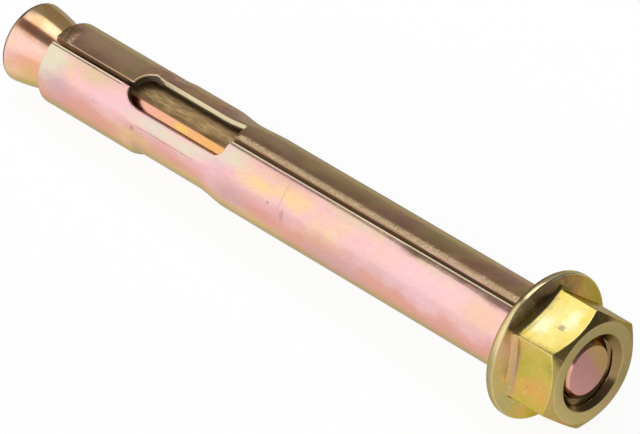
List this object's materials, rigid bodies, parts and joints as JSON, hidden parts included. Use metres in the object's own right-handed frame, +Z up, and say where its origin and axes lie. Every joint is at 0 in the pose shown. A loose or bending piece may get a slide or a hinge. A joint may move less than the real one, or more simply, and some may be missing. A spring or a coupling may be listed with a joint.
{
  "type": "sleeve anchor",
  "caption": "Pre-assembled sleeve anchor: a cone bolt in a slotted, rolled expansion sleeve, held by a hex nut with a flange, in yellow zinc plating.",
  "frame": {"origin": "middle of the underside of the anchor as it lies, on the floor", "axes": "+X along the anchor towards the nut, the axis rising 2.69 degrees, +Z up, the seam and window facing up and a little towards -Y"},
  "size_m": [0.0888, 0.0174, 0.0174],
  "materials": {
    "bolt_plating": "yellow-passivated zinc on turned steel, rosy gold with rainbow tints, semi-gloss",
    "sleeve_plating": "yellow-passivated zinc on rolled sheet steel, pink and gold clouds, semi-gloss",
    "nut_plating": "yellow-passivated zinc on a cold-formed nut, olive gold, semi-gloss"
  },
  "bodies": {
    "sleeve": {"expansion_sleeve": "sleeve_plating"},
    "bolt": {"cone_bolt": "bolt_plating"},
    "nut": {"flange_nut": "nut_plating"}
  },
  "joints": [
    {"name": "nut_turn", "type": "hinge", "parent": "sleeve", "child": "nut", "pos_m": [-0.03794, 0, 0.00516], "axis": [0.9989, 0, 0.0469], "range_deg": [-360, 1800]},
    {"name": "bolt_slide", "type": "slide", "parent": "sleeve", "child": "bolt", "axis": [-0.9989, 0, -0.0469], "range_m": [-0.00125, 0.00625]}
  ],
  "couplings": [
    {"joint": "bolt_slide", "follows": "nut_turn", "m_per_rad": 0.00019894}
  ]
}
